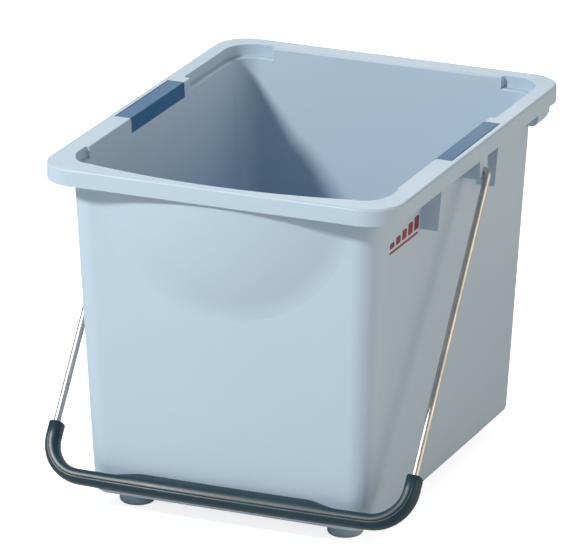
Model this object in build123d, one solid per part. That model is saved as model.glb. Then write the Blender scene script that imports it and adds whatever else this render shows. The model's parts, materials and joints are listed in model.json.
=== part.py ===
from build123d import *
from math import asin, atan2, cos, hypot, radians, sin, tan
import os

# Rectangular service bucket with a wire bail, a moulded grip and two colour clips.
# X is the width (the bail turns about X), -Y is the front, Z is up.
# The origin is on the floor, under the middle of the tub. Millimetres.

# Overall sizes
height = 304.0              # floor to the top of the rim
rim_width = 312.0           # X, across the two colour clips
rim_depth = 400.6           # Y, front to back

# Tub shell
wall = 2.8
floor_thickness = 3.2
foot_height = 13.0          # floor to the underside of the tub
draft = 2.86                # degrees, every side wall leans out by this
side_overhang = 17.6        # rim edge to the outer wall, left and right
end_overhang = 19.0         # rim edge to the outer wall, front and back
corner_top = 22.0           # outer corner radius at the rim
corner_bottom = 17.0        # outer corner radius at the base
base_edge = 6.0             # outer rounding between wall and base

# Rim
rim_thickness = 3.6
rim_corner = 30.0
rim_edge = 2.4              # rounding of the outer top edge
skirt_height = 15.0         # top of the rim to the skirt's lower edge
skirt_wall = 2.5
mouth_edge = 1.6            # rounding of the inner top edge

# Pouring bulge in the front wall
spout_inner_depth = 13.5    # how far the mouth bows out at the rim
spout_outer_depth = 16.5
spout_drop = 4.0            # rim to the centre of the bulge
spout_foot_radius = 70.0    # the soft hollow where the bulge meets the wall
spout_foot_angle = 3.0      # degrees, the slope that is left at the foot's edge

# Seats moulded into the four corners for a sieve or a wringer
seat_depth = 10.0           # rim to the seat
rear_seat_side = 6.2        # how far the seat steps out of the side wall
rear_seat_end = 5.0         # how far it steps out of the end wall
rear_seat_length_x = 37.0   # along the back wall, from the side seat's face
rear_seat_length_y = 114.0  # along the side wall, from the end seat's face
front_seat_side = 3.2
front_seat_length_y = 40.0
seat_corner = 26.0
seat_end_round = 3.0        # plan rounding where a seat's pocket ends
seat_lip = 1.8              # rounding of the seat's inner edge
lip_overlap = 0.05          # the rounding starts this far inside the wall's face

# Corner pods under the rear of the rim
pod_drop = 33.0             # rim to the pod's underside
pod_side = 12.0             # how far the pod stands out of the outer wall
pod_corner = 22.0
pod_length = 46.0
pod_rounding = 12.0

# Bail lugs and the ribs under the rim
lug_y = 5.5                 # the pivot's place along the rim
pivot_drop = 25.0           # rim to the pivot
lug_radius = 8.5
lug_proud = 0.2             # how far the lug's face stands out of the skirt
rib_thickness = 2.4
rib_drop = 50.5             # rim to the rib's lower end
rib_taper = 3.0
rib_places = [-86.0, 42.0]

# Colour clips
clip_y = 1.5                # the clip's middle along the rim
clip_length = 110.0
clip_width = 14.0
clip_thickness = 1.9
clip_leg_height = 13.0
clip_leg_thickness = 1.3
clip_gap = 0.3
clip_edge = 1.2             # rounding of the edge towards the mouth
clip_corner = 3.0           # rounding of the leg's lower corners
hook_offset = 32.0
hook_length = 8.0
hook_thickness = 1.6
hook_reach = 3.4            # below the rim plate
hook_barb = 0.9

# Bail
wire_diameter = 6.0
pivot_clearance = 0.1       # radial, wire in lug
bend_gap = 0.1              # lug face to the start of the wire's bend
wire_end_depth = 13.0       # how far the wire's end reaches into the lug
pivot_bend = 3.8
hand_bend = 31.0
run_bow = 2.2               # how far the low run's middle hangs below its ends
bow_radius = 1800.0         # rounding of the low run's middle
grip_rest_height = 28.0     # floor to the wire's centre line, bail down
grip_rest_gap = 0.3

# Grip
grip_width = 12.2           # seen along the wall
grip_depth = 13.6           # towards the wall
grip_corner = 5.2
grip_leg_length = 45.0      # how far the grip climbs each leg, from the wire's low line
hand_width = 17.4
hand_flat = 146.0
hand_blend = 28.0
grip_clearance = 0.1        # radial, wire in grip
channel_lip = 0.5           # the rear channel is this much narrower than the wire, each side

# Feet
foot_diameter = 30.0
foot_inset = 30.5           # outer base edge to the foot's centre, both ways
foot_rounding = 3.0
spigot_diameter = 14.0
spigot_length = 8.0
foot_fit = 0.05             # radial, spigot in foot

# Derived sizes
lean = tan(radians(draft))
shell_drop = (height - foot_height) * lean
top_w, top_d = rim_width - 2 * side_overhang, rim_depth - 2 * end_overhang
base_w, base_d = top_w - 2 * shell_drop, top_d - 2 * shell_drop
skirt_bottom = height - skirt_height
pivot_z = height - pivot_drop
lug_face = rim_width / 2 + lug_proud
leg_x = lug_face + bend_gap + pivot_bend
wire_radius = wire_diameter / 2


def rounded_shell(w0, d0, r0, z0, w1, d1, r1, z1):
    """A tapered block with rounded corners between two heights."""
    low = Plane.XY.offset(z0) * RectangleRounded(w0, d0, r0)
    high = Plane.XY.offset(z1) * RectangleRounded(w1, d1, r1)
    return loft([low, high], ruled=True)


def slab(w, d, r, z0, z1):
    """A straight rounded plate between two heights."""
    return extrude(Plane.XY.offset(z0) * RectangleRounded(w, d, r), z1 - z0)


def block(x0, x1, y0, y1, z0, z1):
    """A box given by its limits."""
    centre = ((x0 + x1) / 2, (y0 + y1) / 2, (z0 + z1) / 2)
    return Pos(*centre) * Box(x1 - x0, y1 - y0, z1 - z0)


def both_sides(shape):
    """A shape on the right side and its mirror image on the left."""
    return [shape, mirror(shape, about=Plane.YZ)]


def outer_body():
    body = rounded_shell(
        base_w, base_d, corner_bottom, foot_height, top_w, top_d, corner_top, height
    )
    low_edges = body.edges().group_by(Axis.Z)[0]
    return fillet(low_edges, base_edge)


def cavity():
    z0 = foot_height + floor_thickness
    z1 = height + 1.0
    rise0, rise1 = (z0 - foot_height) * lean, (z1 - foot_height) * lean
    body = rounded_shell(
        base_w + 2 * rise0 - 2 * wall,
        base_d + 2 * rise0 - 2 * wall,
        corner_bottom - wall,
        z0,
        base_w + 2 * rise1 - 2 * wall,
        base_d + 2 * rise1 - 2 * wall,
        corner_top - wall,
        z1,
    )
    low_edges = body.edges().group_by(Axis.Z)[0]
    return fillet(low_edges, base_edge - wall)


def spout_ball():
    """The hollow of the bulge: a ball that bows the inner face out, as wide as the flat wall."""
    ring = top_w / 2 - corner_top - 1.0
    radius = ring**2 / (2 * spout_inner_depth) + spout_inner_depth / 2
    z = height - spout_drop
    y = -(top_d / 2 - wall - spout_drop * lean)
    back = radius - spout_inner_depth
    tilt = radians(draft)
    centre = (0, y + back * cos(tilt), z + back * sin(tilt))
    return Pos(*centre) * Sphere(radius)


def spout_dome():
    """The outside of the bulge: a dome with a flared foot, as wide as the flat wall."""
    depth = spout_outer_depth
    ring = top_w / 2 - corner_top - 1.0
    last = radians(spout_foot_angle)
    turn = 2 * atan2(
        depth + spout_foot_radius * (1 - cos(last)), ring + spout_foot_radius * sin(last)
    )
    radius = (ring - spout_foot_radius * (sin(turn) - sin(last))) / sin(turn)

    def on_dome(angle):
        return (radius * sin(angle), depth - radius * (1 - cos(angle)))

    def on_foot(angle):
        return (
            ring - spout_foot_radius * (sin(angle) - sin(last)),
            spout_foot_radius * (cos(last) - cos(angle)),
        )

    back = -20.0
    outline = ThreePointArc(on_dome(0), on_dome(turn / 2), on_dome(turn))
    outline += ThreePointArc(on_dome(turn), on_foot((turn + last) / 2), (ring, 0))
    outline += Polyline((ring, 0), (ring, back), (0, back), (0, depth))
    dome = revolve(make_face(outline), axis=Axis.Y)
    tilt = radians(draft)
    place = Plane(
        origin=(0, -(top_d / 2 - spout_drop * lean), height - spout_drop),
        x_dir=(1, 0, 0),
        z_dir=(0, sin(tilt), -cos(tilt)),
    )
    return place.location * dome


def spout_part(bulge, top):
    """The part of a bulge that stands in front of the flat of the front wall."""
    flat = top_w / 2 - corner_top
    limits = block(-flat, flat, -rim_depth / 2, -top_d / 2 + 20, foot_height, top)
    return bulge & limits


def seat_pocket(grow, low):
    """The widened corners above the seats; grow adds the wall around them."""
    inner_w, inner_d = top_w - 2 * wall, top_d - 2 * wall
    top = height - rim_thickness / 2 if grow else height + 1.0
    half_w, half_d = inner_w / 2 + rear_seat_side + grow, inner_d / 2 + rear_seat_end + grow
    x0, y0 = half_w - rear_seat_length_x - 2 * grow, half_d - rear_seat_length_y - 2 * grow
    rear = slab(2 * half_w, 2 * half_d, seat_corner + grow, low, top) & block(
        x0, half_w, y0, half_d, low, top
    )
    ends = rear.edges().filter_by(Axis.Z).filter_by(
        lambda edge: abs(edge.center().X - half_w) + abs(edge.center().Y - y0) < 0.1
        or abs(edge.center().X - x0) + abs(edge.center().Y - half_d) < 0.1
    )
    rear = fillet(ends, seat_end_round + grow)
    front_w = inner_w / 2 + front_seat_side + grow
    y1 = -inner_d / 2 + front_seat_length_y + grow
    front = slab(2 * front_w, inner_d + 2 * grow, seat_corner + grow, low, top) & block(
        front_w - 30, front_w, -inner_d / 2 - grow, y1, low, top
    )
    ends = front.edges().filter_by(Axis.Z).filter_by(
        lambda edge: abs(edge.center().X - front_w) + abs(edge.center().Y - y1) < 0.1
    )
    front = fillet(ends, seat_end_round)
    return both_sides(rear) + both_sides(front)


def corner_pod():
    """The rounded boss under the right rear corner of the rim."""
    half_w, half_d = top_w / 2 + pod_side, top_d / 2 + pod_side
    low, top = height - pod_drop, height - rim_thickness / 2
    pod = slab(2 * half_w, 2 * half_d, pod_corner, low, top) & block(
        half_w - pod_length, half_w, half_d - pod_length, half_d, low, top
    )
    return fillet(pod.edges().group_by(Axis.Z)[0], pod_rounding)


def rim():
    plate = slab(rim_width, rim_depth, rim_corner, skirt_bottom, height)
    plate = fillet(plate.edges().group_by(Axis.Z)[-1], rim_edge)
    plate = fillet(plate.edges().group_by(Axis.Z)[0], skirt_wall / 3)
    inside = slab(
        rim_width - 2 * skirt_wall,
        rim_depth - 2 * skirt_wall,
        rim_corner - skirt_wall,
        skirt_bottom - 1,
        height - rim_thickness,
    )
    return plate - inside


def lug():
    """The right lug: a tongue under the rim with a blind bore for the wire's end."""
    inner_x = top_w / 2 - wall / 2 - pivot_drop * lean
    section = Circle(lug_radius) + Pos(0, (pivot_drop - rim_thickness) / 2) * Rectangle(
        2 * lug_radius, pivot_drop - rim_thickness
    )
    place = Plane(origin=(inner_x, lug_y, pivot_z), x_dir=(0, 1, 0), z_dir=(1, 0, 0))
    tongue = extrude(place * section, lug_face - inner_x)
    return fillet(tongue.edges().group_by(Axis.X)[-1].filter_by(GeomType.CIRCLE), 0.6)


def lug_bore():
    radius = wire_radius + pivot_clearance
    place = Plane(
        origin=(lug_face - wire_end_depth, lug_y, pivot_z), x_dir=(0, 1, 0), z_dir=(1, 0, 0)
    )
    return extrude(place * Circle(radius), wire_end_depth + 1)


def rib(y):
    """A right-hand rib from the wall to the skirt, narrower at its lower end."""
    outer = rim_width / 2 - skirt_wall / 2
    inner_top = top_w / 2 - wall / 2
    low = height - rib_drop
    inner_low = inner_top - rib_drop * lean
    points = [
        (inner_top, height - rim_thickness / 2),
        (outer, height - rim_thickness / 2),
        (outer, skirt_bottom + 1),
        (outer - rib_taper, low),
        (inner_low, low),
    ]
    plane = Plane(origin=(0, y - rib_thickness / 2, 0), x_dir=(1, 0, 0), z_dir=(0, 1, 0))
    outline = make_face(Polyline(*[plane.to_local_coords(Vector(x, y, z)) for x, z in points], close=True))
    return extrude(plane * outline, rib_thickness)


def clip_recess():
    """The shallow seat of the right clip, with its hook slots."""
    gap = clip_gap
    inner = top_w / 2 - wall
    length = clip_length / 2 + gap
    y0, y1 = clip_y - length, clip_y + length
    top = block(inner - 3, inner + clip_width + gap, y0, y1, height - clip_thickness, height + 1)
    leg_floor = height - clip_leg_height - gap
    leg = block(inner - 12, inner + clip_leg_thickness, y0, y1, leg_floor, height + 1)
    recess = top + leg
    for side in (-1, 1):
        y = clip_y + side * hook_offset
        x = inner + clip_width - hook_thickness
        recess += block(
            x - gap,
            x + hook_thickness + hook_barb + gap,
            y - hook_length / 2 - gap,
            y + hook_length / 2 + gap,
            height - rim_thickness - 1,
            height,
        )
    return recess


def clip():
    """The right colour clip: a flush top strip, an inner leg and two snap hooks."""
    inner = top_w / 2 - wall
    y0, y1 = clip_y - clip_length / 2, clip_y + clip_length / 2
    body = block(inner, inner + clip_width, y0, y1, height - clip_thickness, height)
    leg = block(inner, inner + clip_leg_thickness, y0, y1, height - clip_leg_height, height)
    body += fillet(leg.edges().filter_by(Axis.X).group_by(Axis.Z)[0], clip_corner)
    for side in (-1, 1):
        y = clip_y + side * hook_offset
        x = inner + clip_width - hook_thickness
        low = height - rim_thickness - hook_reach
        stem = block(x, x + hook_thickness, y - hook_length / 2, y + hook_length / 2, low, height - 1)
        barb = block(
            x,
            x + hook_thickness + hook_barb,
            y - hook_length / 2,
            y + hook_length / 2,
            low,
            height - rim_thickness - clip_gap,
        )
        body += stem + barb
    mouth_side = body.edges().filter_by(Axis.Y).group_by(Axis.X)[0].group_by(Axis.Z)[-1]
    return fillet(mouth_side, clip_edge)


def foot_centres():
    x, y = base_w / 2 - foot_inset, base_d / 2 - foot_inset
    return {
        "foot_front_left": (-x, -y),
        "foot_front_right": (x, -y),
        "foot_rear_left": (-x, y),
        "foot_rear_right": (x, y),
    }


def foot(x, y):
    """A round glide with a blind hole that pushes over a spigot under the tub."""
    body = extrude(Plane.XY * Pos(x, y) * Circle(foot_diameter / 2), foot_height)
    body = fillet(body.edges().group_by(Axis.Z)[0], foot_rounding)
    hole_radius = spigot_diameter / 2 + foot_fit
    hole = extrude(Plane.XY.offset(foot_height - spigot_length - 0.4) * Pos(x, y) * Circle(hole_radius), 20)
    return body - hole


def spigot(x, y):
    low = foot_height - spigot_length
    return extrude(Plane.XY.offset(low) * Pos(x, y) * Circle(spigot_diameter / 2), spigot_length + 1)


def mouth_edges(body):
    """The edges round the mouth, in the rim's top face."""
    return [
        edge
        for edge in body.edges().filter_by_position(Axis.Z, height - 0.01, height + 0.01)
        if abs(edge.center().X) < top_w / 2 and abs(edge.center().Y) < rim_depth / 2 - rim_edge - 1
    ]


def seat_flare():
    """The rounded inner edge of the seats, a quarter circle in steps round the whole wall."""
    low = height - seat_depth - seat_lip
    steps = []
    for turn in (0, 22.5, 45, 67.5, 90):
        out = seat_lip * (1 - cos(radians(turn))) - lip_overlap
        z = low + seat_lip * sin(radians(turn))
        grow = 2 * (out - wall - (height - z) * lean)
        steps.append((top_w + grow, top_d + grow, corner_top - wall + out, z))
    flare = rounded_shell(*steps[0], *steps[1])
    for below, above in zip(steps[1:], steps[2:]):
        flare += rounded_shell(*below, *above)
    return flare


def tub():
    body = outer_body() + rim() + spout_part(spout_dome(), height - 1)
    for pocket in seat_pocket(wall, height - seat_depth - wall):
        body += pocket
    body += both_sides(corner_pod())
    body += both_sides(lug())
    for y in rib_places:
        body += both_sides(rib(y))
    for x, y in foot_centres().values():
        body += spigot(x, y)
    body -= cavity()
    body -= spout_part(spout_ball(), height + 1)
    body = fillet(mouth_edges(body), mouth_edge)
    flare = seat_flare()
    for pocket in seat_pocket(0, height - seat_depth - seat_lip):
        body -= flare & pocket
    for pocket in seat_pocket(0, height - seat_depth):
        body -= pocket
    body -= both_sides(clip_recess())
    body -= both_sides(lug_bore())
    return body


def grip_reach(angle):
    """How far the grip reaches from the wire's centre line to the wall, leaning at an angle."""
    turn = angle + radians(draft)
    corner = grip_corner
    along = (hand_width / 2 - corner + (hand_width - grip_width) / 2) * sin(turn)
    return along + (grip_depth / 2 - corner) * cos(turn) + corner


# The bail lies in a plane through the pivot: local x is X, local y runs from the
# pivot to the grip, and local z points to the wall that the grip rests on.
wall_y = base_d / 2 + (grip_rest_height - foot_height) * lean
bail_angle = radians(35.0)
for _ in range(8):
    standoff = (grip_reach(bail_angle) + grip_rest_gap) / cos(radians(draft))
    bail_angle = atan2(lug_y + wall_y + standoff, pivot_z - grip_rest_height)
bail_length = hypot(lug_y + wall_y + standoff, pivot_z - grip_rest_height)
bail_plane = Plane(
    origin=(0, lug_y, pivot_z), x_dir=(1, 0, 0), z_dir=(0, cos(bail_angle), -sin(bail_angle))
)


def low_run():
    """The corners of the wire's low run, which hangs a little lower in its middle."""
    return [(leg_x, bail_length - run_bow), (0, bail_length), (-leg_x, bail_length - run_bow)]


def bail_wire():
    end_x = lug_face - wire_end_depth + 1.0
    points = [
        (end_x, 0),
        (leg_x, 0),
        *low_run(),
        (-leg_x, 0),
        (-end_x, 0),
    ]
    path = FilletPolyline(
        *points, radius=[pivot_bend, hand_bend, bow_radius, hand_bend, pivot_bend]
    )
    start = Plane(origin=(end_x, 0, 0), z_dir=(1, 0, 0))
    return bail_plane.location * sweep(start * Circle(wire_radius), path=path)


def bail_grip():
    """The grip clips over the wire's low run; its rear channel is open to the wall side."""
    low_t = bail_length - grip_leg_length
    points = [(leg_x, low_t), *low_run(), (-leg_x, low_t)]
    path = FilletPolyline(*points, radius=[hand_bend, bow_radius, hand_bend])
    start = Plane(origin=(leg_x, low_t, 0), x_dir=(1, 0, 0), z_dir=(0, 1, 0))
    section = RectangleRounded(grip_width, grip_depth, grip_corner)
    body = sweep(start * section, path=path)
    swell = hand_width - grip_width
    side = Plane(origin=(0, bail_length - swell / 2, 0), x_dir=(0, 1, 0), z_dir=(1, 0, 0))
    wide = RectangleRounded(hand_width, grip_depth, grip_corner)
    body += extrude(side * wide, hand_flat / 2, both=True)
    blend_end = hand_flat / 2 + hand_blend
    slope = run_bow / leg_x
    for direction in (-1, 1):
        near = side.offset(direction * hand_flat / 2) * wide
        far_plane = Plane(
            origin=(direction * blend_end, bail_length - slope * blend_end, 0),
            x_dir=(direction * slope, 1, 0),
            z_dir=(1, -direction * slope, 0),
        )
        far = far_plane * RectangleRounded(grip_width, grip_depth, grip_corner)
        body += loft([near, far], ruled=True)
    bore = sweep(start * Circle(wire_radius + grip_clearance), path=path)
    slot_depth = grip_depth
    slot = sweep(
        start * Pos(0, -slot_depth / 2) * Rectangle(wire_diameter - 2 * channel_lip, slot_depth), path=path
    )
    return bail_plane.location * (body - bore - slot)


os.makedirs("parts", exist_ok=True)
right_clip, left_clip = both_sides(clip())
parts = {
    "tub": tub(),
    "colour_clip_right": right_clip,
    "colour_clip_left": left_clip,
    "bail_wire": bail_wire(),
    "bail_grip": bail_grip(),
}
for name, (x, y) in foot_centres().items():
    parts[name] = foot(x, y)
for name, shape in parts.items():
    export_step(shape, f"parts/{name}.step")
print("bail", round(bail_length, 3), "angle", round(bail_angle * 57.29578, 3))
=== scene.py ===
import json
import math

import bmesh
import bpy
from mathutils import Matrix, Vector


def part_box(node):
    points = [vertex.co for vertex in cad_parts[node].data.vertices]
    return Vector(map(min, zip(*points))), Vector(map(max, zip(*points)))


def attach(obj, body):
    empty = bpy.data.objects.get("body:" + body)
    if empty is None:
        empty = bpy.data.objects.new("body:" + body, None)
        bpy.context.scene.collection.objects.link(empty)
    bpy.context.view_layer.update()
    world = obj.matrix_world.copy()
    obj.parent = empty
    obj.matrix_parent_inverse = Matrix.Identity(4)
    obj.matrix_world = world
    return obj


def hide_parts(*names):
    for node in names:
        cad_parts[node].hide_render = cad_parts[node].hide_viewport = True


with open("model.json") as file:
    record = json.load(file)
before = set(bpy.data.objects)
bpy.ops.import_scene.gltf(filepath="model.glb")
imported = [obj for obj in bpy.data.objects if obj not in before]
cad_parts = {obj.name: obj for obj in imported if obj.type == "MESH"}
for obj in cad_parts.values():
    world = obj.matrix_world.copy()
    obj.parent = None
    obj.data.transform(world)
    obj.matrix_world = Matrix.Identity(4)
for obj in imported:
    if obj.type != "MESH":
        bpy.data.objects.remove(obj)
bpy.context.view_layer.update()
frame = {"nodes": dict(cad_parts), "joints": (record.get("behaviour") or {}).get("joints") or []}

print("frame loaded:", len(frame["nodes"]), "nodes")

scene = bpy.context.scene
scene.view_settings.view_transform = "Standard"  # keeps the pale plastic pale


# camera: stands front right, a little above the rim, with a long lens
cameraSetup = {
    "place": (1.9803, -4.8029, 1.9479),
    "azimuth": 22.5497,
    "elevation": 18.9123,
    "roll": 0.3889,
    "lens": 407.06,
}


def makeCamera(setup):
    data = bpy.data.cameras.new("studioCamera")
    data.lens = setup["lens"]
    data.sensor_width = 36.0
    data.clip_start = 0.1
    data.clip_end = 100.0
    cameraObject = bpy.data.objects.new("studioCamera", data)
    scene.collection.objects.link(cameraObject)
    turn = Matrix.Rotation(math.radians(setup["azimuth"]), 4, "Z")
    turn = turn @ Matrix.Rotation(math.radians(90 - setup["elevation"]), 4, "X")
    turn = turn @ Matrix.Rotation(math.radians(setup["roll"]), 4, "Z")
    cameraObject.matrix_world = Matrix.Translation(setup["place"]) @ turn
    scene.camera = cameraObject


makeCamera(cameraSetup)
print("camera made")


# lights: one large key from the front left, a weak fill, and a pale room
keyLight = {
    "aim": (0.0, 0.0, 0.16),
    "travel": (0.69, 1.0, -0.91),
    "distance": 3.4,
    "size": 0.42,
    "power": 106.0,
    "colour": (1.0, 0.955, 0.88),
}
fillLight = {
    "aim": (0.0, 0.0, 0.2),
    "travel": (-1.0, -0.06, -0.03),
    "distance": 3.6,
    "size": 4.4,
    "power": 100.0,
    "colour": (1.0, 0.77, 0.53),
}
backLight = {
    "aim": (0.0, 0.0, 0.3),
    "travel": (0.30, -1.0, -0.72),
    "distance": 3.4,
    "size": 1.8,
    "power": 34.0,
    "colour": (1.0, 0.96, 0.91),
}
room = {"colour": (0.76, 0.92, 1.0, 1.0), "strength": 0.295}


def makeAreaLight(name, setup):
    data = bpy.data.lights.new(name, "AREA")
    data.shape = "DISK"
    data.size = setup["size"]
    data.energy = setup["power"]
    data.color = setup["colour"]
    light = bpy.data.objects.new(name, data)
    scene.collection.objects.link(light)
    travel = Vector(setup["travel"]).normalized()
    light.location = Vector(setup["aim"]) - travel * setup["distance"]
    light.rotation_mode = "QUATERNION"
    light.rotation_quaternion = travel.to_track_quat("-Z", "Y")


makeAreaLight("keyLight", keyLight)
makeAreaLight("fillLight", fillLight)
makeAreaLight("backLight", backLight)

world = bpy.data.worlds.new("paleRoom")
world.use_nodes = True
world.node_tree.nodes["Background"].inputs["Color"].default_value = room["colour"]
world.node_tree.nodes["Background"].inputs["Strength"].default_value = room["strength"]
scene.world = world
print("lights made")


# node helpers
def addNode(tree, kind, place, **values):
    node = tree.nodes.new(kind)
    node.location = place
    for name, value in values.items():
        setattr(node, name, value)
    return node


def fill(node, **values):
    for name, value in values.items():
        node.inputs[name].default_value = value
    return node


def join(tree, source, output, target, entry):
    tree.links.new(source.outputs[output], target.inputs[entry])


def newGroup(name, inputs, outputs):
    tree = bpy.data.node_groups.new(name, "ShaderNodeTree")
    for label, kind, value in inputs:
        socket = tree.interface.new_socket(name=label, in_out="INPUT", socket_type=kind)
        if value is not None:
            socket.default_value = value
    for label, kind in outputs:
        tree.interface.new_socket(name=label, in_out="OUTPUT", socket_type=kind)
    entry = addNode(tree, "NodeGroupInput", (-900, 0))
    leave = addNode(tree, "NodeGroupOutput", (900, 0))
    return tree, entry, leave


def mixColour(tree, place, mode="MIX"):
    return addNode(tree, "ShaderNodeMix", place, data_type="RGBA", blend_type=mode)


# the moulded surface: a fine spark-eroded grain over slow waves in the wall
def makeMouldGrain():
    tree, entry, leave = newGroup(
        "mouldGrain",
        [
            ("Vector", "NodeSocketVector", None),
            ("Grain Scale", "NodeSocketFloat", 1400.0),
            ("Wave Scale", "NodeSocketFloat", 9.0),
            ("Wave Share", "NodeSocketFloat", 0.5),
        ],
        [("Height", "NodeSocketFloat")],
    )
    grain = fill(addNode(tree, "ShaderNodeTexNoise", (-600, 150)), Detail=3.0, Roughness=0.6)
    waves = fill(addNode(tree, "ShaderNodeTexNoise", (-600, -150)), Detail=1.0, Roughness=0.4)
    scaled = addNode(tree, "ShaderNodeMath", (-300, -150), operation="MULTIPLY")
    total = addNode(tree, "ShaderNodeMath", (0, 0), operation="ADD")
    join(tree, entry, "Vector", grain, "Vector")
    join(tree, entry, "Vector", waves, "Vector")
    join(tree, entry, "Grain Scale", grain, "Scale")
    join(tree, entry, "Wave Scale", waves, "Scale")
    join(tree, waves, "Fac", scaled, 0)
    join(tree, entry, "Wave Share", scaled, 1)
    join(tree, grain, "Fac", total, 0)
    join(tree, scaled, "Value", total, 1)
    join(tree, total, "Value", leave, "Height")
    return tree


# colour that drifts slowly over the plastic, as flow and sun leave it
def makeColourDrift():
    tree, entry, leave = newGroup(
        "colourDrift",
        [
            ("Vector", "NodeSocketVector", None),
            ("Colour", "NodeSocketColor", (0.5, 0.5, 0.5, 1.0)),
            ("Drift Colour", "NodeSocketColor", (0.4, 0.4, 0.4, 1.0)),
            ("Scale", "NodeSocketFloat", 6.0),
            ("Amount", "NodeSocketFloat", 0.5),
        ],
        [("Colour", "NodeSocketColor")],
    )
    noise = fill(addNode(tree, "ShaderNodeTexNoise", (-600, 0)), Detail=4.0, Roughness=0.55)
    spread = addNode(tree, "ShaderNodeMapRange", (-350, 0))
    fill(spread, **{"From Min": 0.3, "From Max": 0.7})
    amount = addNode(tree, "ShaderNodeMath", (-100, 0), operation="MULTIPLY")
    blend = mixColour(tree, (200, 0))
    join(tree, entry, "Vector", noise, "Vector")
    join(tree, entry, "Scale", noise, "Scale")
    join(tree, noise, "Fac", spread, "Value")
    join(tree, spread, "Result", amount, 0)
    join(tree, entry, "Amount", amount, 1)
    join(tree, amount, "Value", blend, 0)
    join(tree, entry, "Colour", blend, 6)
    join(tree, entry, "Drift Colour", blend, 7)
    join(tree, blend, 2, leave, "Colour")
    return tree


# hairline scuffs in two directions, stronger between two heights
scuffDirections = [
    {"turn": (0.2, 0.5, 0.3), "stretch": (1.0, 14.0, 14.0)},
    {"turn": (0.5, 0.1, 1.2), "stretch": (14.0, 1.0, 14.0)},
]


def makeScuffs():
    tree, entry, leave = newGroup(
        "scuffs",
        [
            ("Vector", "NodeSocketVector", None),
            ("Scale", "NodeSocketFloat", 22.0),
            ("Low", "NodeSocketFloat", 0.0),
            ("High", "NodeSocketFloat", 0.1),
            ("Amount", "NodeSocketFloat", 0.5),
        ],
        [("Mask", "NodeSocketFloat")],
    )
    masks = []
    for row, direction in enumerate(scuffDirections):
        y = 200 - 400 * row
        mapping = addNode(tree, "ShaderNodeMapping", (-700, y))
        fill(mapping, Rotation=direction["turn"], Scale=direction["stretch"])
        noise = fill(addNode(tree, "ShaderNodeTexNoise", (-500, y)), Detail=5.0, Roughness=0.7)
        lines = addNode(tree, "ShaderNodeMapRange", (-300, y))
        fill(lines, **{"From Min": 0.62, "From Max": 0.72})
        join(tree, entry, "Vector", mapping, "Vector")
        join(tree, mapping, "Vector", noise, "Vector")
        join(tree, entry, "Scale", noise, "Scale")
        join(tree, noise, "Fac", lines, "Value")
        masks.append(lines)
    both = addNode(tree, "ShaderNodeMath", (-100, 0), operation="MAXIMUM")
    join(tree, masks[0], "Result", both, 0)
    join(tree, masks[1], "Result", both, 1)
    axes = addNode(tree, "ShaderNodeSeparateXYZ", (-500, -550))
    band = addNode(tree, "ShaderNodeMapRange", (-300, -550))
    fill(band, **{"To Min": 1.0, "To Max": 0.08})
    join(tree, entry, "Vector", axes, "Vector")
    join(tree, axes, "Z", band, "Value")
    join(tree, entry, "Low", band, "From Min")
    join(tree, entry, "High", band, "From Max")
    banded = addNode(tree, "ShaderNodeMath", (150, -100), operation="MULTIPLY")
    final = addNode(tree, "ShaderNodeMath", (400, -50), operation="MULTIPLY")
    join(tree, both, "Value", banded, 0)
    join(tree, band, "Result", banded, 1)
    join(tree, banded, "Value", final, 0)
    join(tree, entry, "Amount", final, 1)
    join(tree, final, "Value", leave, "Mask")
    return tree


mouldGrain = makeMouldGrain()
colourDrift = makeColourDrift()
scuffs = makeScuffs()

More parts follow.
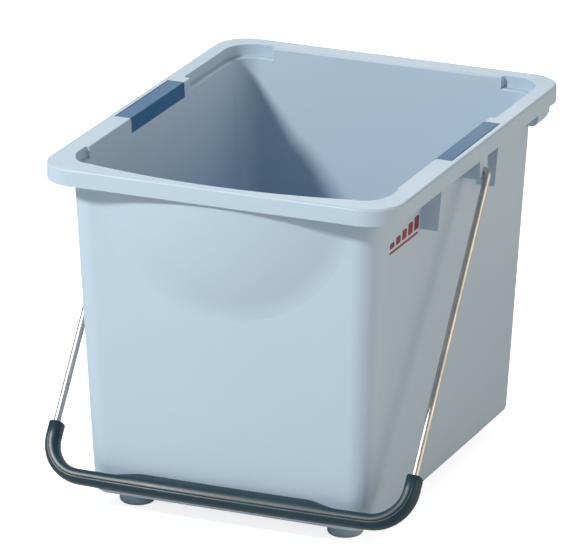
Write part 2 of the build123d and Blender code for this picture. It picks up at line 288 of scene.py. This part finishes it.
plastics = {
    "tubPlastic": {
        "colour": (0.442, 0.562, 0.690, 1.0),
        "drift": (0.427, 0.546, 0.676, 1.0),
        "driftScale": 5.0,
        "scuffColour": (0.66, 0.73, 0.80, 1.0),
        "scuffScale": 26.0,
        "scuffLow": 0.01,
        "scuffHigh": 0.12,
        "scuffAmount": 0.35,
        "roughness": (0.40, 0.50),
        "grainScale": 1500.0,
        "waveShare": 0.6,
        "bump": 0.06,
        "specular": 0.45,
    },
    "clipPlastic": {
        "colour": (0.008, 0.112, 0.270, 1.0),
        "drift": (0.007, 0.102, 0.250, 1.0),
        "driftScale": 18.0,
        "scuffColour": (0.16, 0.27, 0.42, 1.0),
        "scuffScale": 60.0,
        "scuffLow": 0.30,
        "scuffHigh": 0.60,
        "scuffAmount": 0.30,
        "roughness": (0.42, 0.52),
        "grainScale": 1900.0,
        "waveShare": 0.4,
        "bump": 0.08,
        "specular": 0.32,
    },
    # painted shadow: this near-black blue stands for the shade in the gap between clip and rim
    "clipGapShadow": {
        "colour": (0.004, 0.022, 0.060, 1.0),
        "drift": (0.005, 0.027, 0.070, 1.0),
        "driftScale": 30.0,
        "scuffColour": (0.05, 0.09, 0.15, 1.0),
        "scuffScale": 90.0,
        "scuffLow": 0.30,
        "scuffHigh": 0.60,
        "scuffAmount": 0.20,
        "roughness": (0.55, 0.65),
        "grainScale": 1900.0,
        "waveShare": 0.4,
        "bump": 0.05,
        "specular": 0.2,
    },
    "gripPlastic": {
        "colour": (0.007, 0.031, 0.048, 1.0),
        "drift": (0.009, 0.036, 0.056, 1.0),
        "driftScale": 30.0,
        "scuffColour": (0.10, 0.13, 0.16, 1.0),
        "scuffScale": 70.0,
        "scuffLow": 0.0,
        "scuffHigh": 0.2,
        "scuffAmount": 0.35,
        "roughness": (0.30, 0.42),
        "grainScale": 1700.0,
        "waveShare": 0.3,
        "bump": 0.10,
        "specular": 0.32,
    },
    # painted shade: the feet are the tub's blue-grey plastic, darkened here for the shade they stand in
    # under the tub
    "footPlasticPaintedShade": {
        "colour": (0.350, 0.450, 0.545, 1.0),
        "drift": (0.312, 0.410, 0.502, 1.0),
        "driftScale": 25.0,
        "scuffColour": (0.36, 0.40, 0.44, 1.0),
        "scuffScale": 60.0,
        "scuffLow": 0.0,
        "scuffHigh": 0.02,
        "scuffAmount": 0.6,
        "roughness": (0.45, 0.60),
        "grainScale": 1300.0,
        "waveShare": 0.4,
        "bump": 0.12,
        "specular": 0.4,
    },
    "markInk": {
        "colour": (0.29, 0.030, 0.050, 1.0),
        "drift": (0.22, 0.026, 0.042, 1.0),
        "driftScale": 40.0,
        "scuffColour": (0.55, 0.30, 0.32, 1.0),
        "scuffScale": 90.0,
        "scuffLow": 0.0,
        "scuffHigh": 1.0,
        "scuffAmount": 0.35,
        "roughness": (0.40, 0.55),
        "grainScale": 1500.0,
        "waveShare": 0.5,
        "bump": 0.05,
        "specular": 0.4,
    },
}


surface = {"glossScale": 14.0, "scuffWear": 0.25, "grainHeight": 0.0004}


def useGroup(tree, group, place):
    return addNode(tree, "ShaderNodeGroup", place, node_tree=group)


def makePlastic(name, look):
    material = bpy.data.materials.new(name)
    material.use_nodes = True
    tree = material.node_tree
    shader = tree.nodes["Principled BSDF"]
    where = addNode(tree, "ShaderNodeTexCoord", (-1300, 0))

    drift = useGroup(tree, colourDrift, (-900, 250))
    fill(drift, **{"Colour": look["colour"], "Drift Colour": look["drift"]})
    fill(drift, **{"Scale": look["driftScale"], "Amount": 1.0})
    marks = useGroup(tree, scuffs, (-900, -50))
    fill(marks, Scale=look["scuffScale"], Amount=look["scuffAmount"])
    fill(marks, Low=look["scuffLow"], High=look["scuffHigh"])
    grain = useGroup(tree, mouldGrain, (-900, -350))
    fill(grain, **{"Grain Scale": look["grainScale"], "Wave Share": look["waveShare"]})
    for node in (drift, marks, grain):
        join(tree, where, "Object", node, "Vector")

    colour = mixColour(tree, (-550, 200))
    colour.inputs[7].default_value = look["scuffColour"]
    join(tree, marks, "Mask", colour, 0)
    join(tree, drift, "Colour", colour, 6)
    join(tree, colour, 2, shader, "Base Color")

    gloss = fill(addNode(tree, "ShaderNodeTexNoise", (-900, -650)), Scale=surface["glossScale"], Detail=3.0)
    join(tree, where, "Object", gloss, "Vector")
    glossRange = addNode(tree, "ShaderNodeMapRange", (-550, -650))
    low, high = look["roughness"]
    fill(glossRange, **{"From Min": 0.3, "From Max": 0.7, "To Min": low, "To Max": high})
    join(tree, gloss, "Fac", glossRange, "Value")
    worn = addNode(tree, "ShaderNodeMath", (-300, -550), operation="MULTIPLY_ADD")
    worn.inputs[1].default_value = surface["scuffWear"]
    join(tree, marks, "Mask", worn, 0)
    join(tree, glossRange, "Result", worn, 2)
    join(tree, worn, "Value", shader, "Roughness")

    bump = addNode(tree, "ShaderNodeBump", (-300, -350))
    fill(bump, Strength=look["bump"], Distance=surface["grainHeight"])
    join(tree, grain, "Height", bump, "Height")
    join(tree, bump, "Normal", shader, "Normal")
    shader.inputs["Specular IOR Level"].default_value = look["specular"]
    return material


# drawn steel: bright zinc with faint lines along the wire
wireLook = {
    "colour": (0.60, 0.60, 0.58, 1.0),
    "dull": (0.46, 0.46, 0.45, 1.0),
    "dullScale": 55.0,
    "roughness": (0.36, 0.50),
    "lineStretch": (900.0, 40.0, 40.0),
    "lineHeight": 0.0001,
    "bump": 0.15,
}


def makeSteel(name, look):
    material = bpy.data.materials.new(name)
    material.use_nodes = True
    tree = material.node_tree
    shader = tree.nodes["Principled BSDF"]
    shader.inputs["Metallic"].default_value = 1.0
    where = addNode(tree, "ShaderNodeTexCoord", (-1300, 0))
    stretch = addNode(tree, "ShaderNodeMapping", (-1100, 0))
    stretch.inputs["Scale"].default_value = look["lineStretch"]
    join(tree, where, "Object", stretch, "Vector")
    lines = fill(addNode(tree, "ShaderNodeTexNoise", (-850, 0)), Scale=1.0, Detail=3.0)
    join(tree, stretch, "Vector", lines, "Vector")
    drift = useGroup(tree, colourDrift, (-600, 250))
    fill(drift, **{"Colour": look["colour"], "Drift Colour": look["dull"]})
    fill(drift, Scale=look["dullScale"], Amount=1.0)
    join(tree, where, "Object", drift, "Vector")
    join(tree, drift, "Colour", shader, "Base Color")
    polish = addNode(tree, "ShaderNodeMapRange", (-600, -100))
    low, high = look["roughness"]
    fill(polish, **{"From Min": 0.3, "From Max": 0.7, "To Min": low, "To Max": high})
    join(tree, lines, "Fac", polish, "Value")
    join(tree, polish, "Result", shader, "Roughness")
    bump = addNode(tree, "ShaderNodeBump", (-300, -350))
    fill(bump, Strength=look["bump"], Distance=look["lineHeight"])
    join(tree, lines, "Fac", bump, "Height")
    join(tree, bump, "Normal", shader, "Normal")
    return material


materials = {name: makePlastic(name, look) for name, look in plastics.items()}
materials["wireSteel"] = makeSteel("wireSteel", wireLook)

nodeFinishes = {
    "tub": "tubPlastic",
    "colour_clip_left": "clipPlastic",
    "colour_clip_right": "clipPlastic",
    "bail_wire": "wireSteel",
    "bail_grip": "gripPlastic",
    "foot_front_left": "footPlasticPaintedShade",
    "foot_front_right": "footPlasticPaintedShade",
    "foot_rear_left": "footPlasticPaintedShade",
    "foot_rear_right": "footPlasticPaintedShade",
}
for nodeName, finish in nodeFinishes.items():
    for materialSlot in frame["nodes"][nodeName].material_slots:
        materialSlot.material = materials[finish]
print("materials made")


def finishPiece(name, bm, material, smooth=True):
    mesh = bpy.data.meshes.new(name)
    bm.to_mesh(mesh)
    bm.free()
    mesh.materials.append(material)
    for polygon in mesh.polygons:
        polygon.use_smooth = smooth
    piece = bpy.data.objects.new(name, mesh)
    scene.collection.objects.link(piece)
    return piece


# the moulded grip: a flat facet over a groove all along, and the hand's stretch swells upwards
gripShape = {
    "wireRadius": 0.003,
    "handBend": 0.031,
    "runBow": 0.0022,
    "climb": 0.045,          # from the low line up each leg
    "handFlat": 0.073,       # half of the full-height stretch
    "handBlend": 0.030,
    "endRounding": 0.0009,   # the section shrinks over this length at each end
    "endShrink": 0.88,
    "bendSteps": 12,
    "blendShares": (1.0, 0.86, 0.72, 0.58, 0.44, 0.3, 0.15, 0.0),
    "flatPlaces": (0.045, 0.015),
    "rearFace": -0.0060,     # what lies further back than this is the flat rear
}
# section, millimetres: across (towards the floor) and out (away from the wall)
channelSection = [
    (-2.5, -6.8), (-2.5, -1.8), (-3.1, 0.0), (-2.2, 2.2), (0.0, 3.1),
    (2.2, 2.2), (3.1, 0.0), (2.5, -1.8), (2.5, -6.8),
]
lowerSection = [
    (4.8, -6.8), (5.9, -5.6), (6.1, -3.0), (6.1, 1.0), (5.2, 3.6), (3.4, 5.4), (1.75, 6.0), (1.65, 5.95),
    (1.3, 5.6), (0.95, 6.5), (0.85, 6.7), (0.6, 6.8),
]
endSection = lowerSection + [
    (-3.9, 6.35), (-4.6, 5.9), (-5.5, 4.4), (-6.1, 1.8), (-6.1, -3.0), (-5.9, -5.6), (-4.8, -6.8),
] + channelSection
handSection = lowerSection + [
    (-4.9, 6.25), (-5.6, 5.9), (-7.0, 4.8), (-9.8, 2.4), (-11.3, -1.6), (-11.3, -5.2), (-9.8, -6.8),
] + channelSection


def bailPlane():
    wireLow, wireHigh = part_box("bail_wire")
    radius = gripShape["wireRadius"]
    hinge = Vector(frame["joints"][0]["pos_m"])
    low = Vector((0.0, wireLow[1] + radius, wireLow[2] + radius))
    reach = low - hinge
    down = reach.normalized()
    out = Vector((0.0, down.z, -down.y))
    if out.y > 0:
        out = -out
    return hinge, down, out, reach.length, wireHigh[0] - radius


def easeInOut(value):
    value = min(max(value, 0.0), 1.0)
    return value * value * (3 - 2 * value)


def gripStations(length, legX):
    shape = gripShape
    slope = math.atan2(shape["runBow"], legX)
    bend = shape["handBend"]
    turn = math.pi / 2 - slope
    tangent = bend * math.tan(turn / 2)
    corner = Vector((legX, length - shape["runBow"]))
    along = Vector((-math.cos(slope), math.sin(slope)))
    centre = corner + Vector((-bend, -tangent))
    legEnd = length - shape["climb"]
    stations = [(Vector((legX, legEnd)), 0.0), (Vector((legX, legEnd + shape["endRounding"])), 0.0)]
    for step in range(shape["bendSteps"] + 1):
        angle = turn * step / shape["bendSteps"]
        stations.append((centre + Vector((math.cos(angle), math.sin(angle))) * bend, angle))
    flatStart, blend = shape["handFlat"], shape["handBlend"]
    start = corner + along * tangent
    places = [flatStart + blend * share for share in shape["blendShares"]]
    for x in places + list(shape["flatPlaces"]):
        run = start.x - x
        bow = run * math.tan(slope) * (1 - 0.5 * run / start.x)
        stations.append((Vector((x, start.y + bow)), turn))
    mirrored = [(Vector((-place.x, place.y)), math.pi - angle) for place, angle in reversed(stations)]
    return stations + mirrored


def makeGrip():
    hinge, down, out, length, legX = bailPlane()
    side = Vector((1.0, 0.0, 0.0))
    bm = bmesh.new()
    loops = []
    stations = gripStations(length, legX)
    outer = len(endSection) - len(channelSection)
    for number, (place, angle) in enumerate(stations):
        shrink = gripShape["endShrink"] if number in (0, len(stations) - 1) else 1.0
        across = side * math.cos(angle) + down * math.sin(angle)
        swell = 1.0 - easeInOut((abs(place.x) - gripShape["handFlat"]) / gripShape["handBlend"])
        centre = hinge + side * place.x + down * place.y
        ring = []
        for spot, (endPoint, handPoint) in enumerate(zip(endSection, handSection)):
            over, proud = Vector(endPoint).lerp(Vector(handPoint), swell) / 1000
            if spot < outer:
                over *= shrink
                if proud > gripShape["rearFace"]:
                    proud *= shrink
            ring.append(bm.verts.new(centre + across * over + out * proud))
        loops.append([bm.edges.new((ring[i], ring[(i + 1) % len(ring)])) for i in range(len(ring))])
    for before, after in zip(loops, loops[1:]):
        bmesh.ops.bridge_loops(bm, edges=before + after)
    for loop in (loops[0], loops[-1]):
        bmesh.ops.contextual_create(bm, geom=loop)
    bmesh.ops.recalc_face_normals(bm, faces=bm.faces)
    grip = finishPiece("mouldedGrip", bm, materials["gripPlastic"])
    for polygon in grip.data.polygons:
        polygon.use_smooth = len(polygon.vertices) == 4
    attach(grip, "bail")
    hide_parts("bail_grip")


makeGrip()
print("grip made")


# a dark strip along each clip's outer edge and its front end: the joint with the rim is real, its darkness
# is painted shadow of the gap
gapShadowStrip = {"barb": 0.0009, "width": 0.00105, "stand": 0.00003, "depth": 0.0006, "endWidth": 0.0005}


def makeGapShadowStrips():
    setup = gapShadowStrip
    bm = bmesh.new()
    for nodeName, side in (("colour_clip_left", -1), ("colour_clip_right", 1)):
        low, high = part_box(nodeName)
        reach = max(abs(low[0]), abs(high[0])) - setup["barb"]
        inner = min(abs(low[0]), abs(high[0]))
        top = high[2] + setup["stand"]
        strips = [
            (reach, reach + setup["width"], low[1] - setup["endWidth"], high[1]),
            (inner, reach + setup["width"], low[1] - setup["endWidth"], low[1]),
        ]
        for near, far, front, back in strips:
            middle = (side * (near + far) / 2, (front + back) / 2, top - setup["depth"] / 2)
            size = Matrix.Diagonal((far - near, back - front, setup["depth"], 1.0))
            bmesh.ops.create_cube(bm, size=1.0, matrix=Matrix.Translation(middle) @ size)
    # the strips carry the painted gap shadow
    piece = finishPiece("clipGapShadowStrips", bm, materials["clipGapShadow"], smooth=False)
    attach(piece, "tub")


makeGapShadowStrips()
print("seams made")


# a plain printed mark on the right wall: five rising bars over a line
mark = {
    "middleY": -0.1215,
    "middleZ": 0.2555,
    "width": 0.060,
    "lineHeight": 0.0022,
    "barWidth": 0.0075,
    "barHeights": [0.005, 0.0068, 0.0086, 0.0104, 0.0122],
    "gap": 0.0035,
    "thickness": 0.00016,
    "cornerRound": 0.0008,
    "leastRun": 0.0001,      # edges that run less than this across the wall stay sharp
    "topHalfWidth": 0.1384,
    "draft": 2.86,
}


def makeMark():
    setup = mark
    lean = math.tan(math.radians(setup["draft"]))
    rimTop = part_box("tub")[1][2]
    bars = [(0.0, -setup["gap"], setup["width"], setup["lineHeight"])]
    count = len(setup["barHeights"])
    pitch = (setup["width"] - setup["barWidth"]) / (count - 1)
    for number, high in enumerate(setup["barHeights"]):
        bars.append((-(count - 1) / 2 * pitch + number * pitch, high / 2, setup["barWidth"], high))
    bm = bmesh.new()
    tilt = Matrix.Rotation(math.radians(setup["draft"]), 4, "Y")
    for y, z, wide, high in bars:
        height = setup["middleZ"] + z
        x = setup["topHalfWidth"] - (rimTop - height) * lean
        place = Matrix.Translation((x, setup["middleY"] + y, height)) @ tilt
        size = Matrix.Diagonal((setup["thickness"], wide, high, 1.0))
        cube = bmesh.ops.create_cube(bm, size=1.0, matrix=place @ size)
        edges = {edge for vert in cube["verts"] for edge in vert.link_edges}
        through = [e for e in edges if abs((e.verts[0].co - e.verts[1].co).x) > setup["leastRun"]]
        bmesh.ops.bevel(
            bm, geom=through, offset=setup["cornerRound"], offset_type="OFFSET",
            segments=3, profile=0.5, affect="EDGES", material=-1,
        )
    piece = finishPiece("printedBars", bm, materials["markInk"], smooth=False)
    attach(piece, "tub")


makeMark()
print("mark made")


# pale studio floor
floorSetup = {
    "halfSize": 14.0,
    "colour": (0.70, 0.70, 0.70, 1.0),
    "drift": (0.69, 0.69, 0.69, 1.0),
    "driftScale": 1.5,
    "roughness": 0.6,
    "glow": 0.80,
}


def makeFloor():
    bm = bmesh.new()
    bmesh.ops.create_grid(bm, x_segments=8, y_segments=8, size=floorSetup["halfSize"])
    material = bpy.data.materials.new("studioFloor")
    material.use_nodes = True
    tree = material.node_tree
    shader = tree.nodes["Principled BSDF"]
    shader.inputs["Roughness"].default_value = floorSetup["roughness"]
    shader.inputs["Emission Color"].default_value = (1.0, 1.0, 1.0, 1.0)  # a light table
    seen = addNode(tree, "ShaderNodeLightPath", (-700, -400))
    glow = addNode(tree, "ShaderNodeMath", (-400, -400), operation="MULTIPLY")
    glow.inputs[1].default_value = floorSetup["glow"]
    join(tree, seen, "Is Camera Ray", glow, 0)
    join(tree, glow, "Value", shader, "Emission Strength")
    where = addNode(tree, "ShaderNodeTexCoord", (-900, 0))
    drift = useGroup(tree, colourDrift, (-500, 0))
    fill(drift, **{"Colour": floorSetup["colour"], "Drift Colour": floorSetup["drift"]})
    fill(drift, Scale=floorSetup["driftScale"], Amount=1.0)
    join(tree, where, "Object", drift, "Vector")
    join(tree, drift, "Colour", shader, "Base Color")
    finishPiece("studioFloor", bm, material)


makeFloor()
print("floor made")
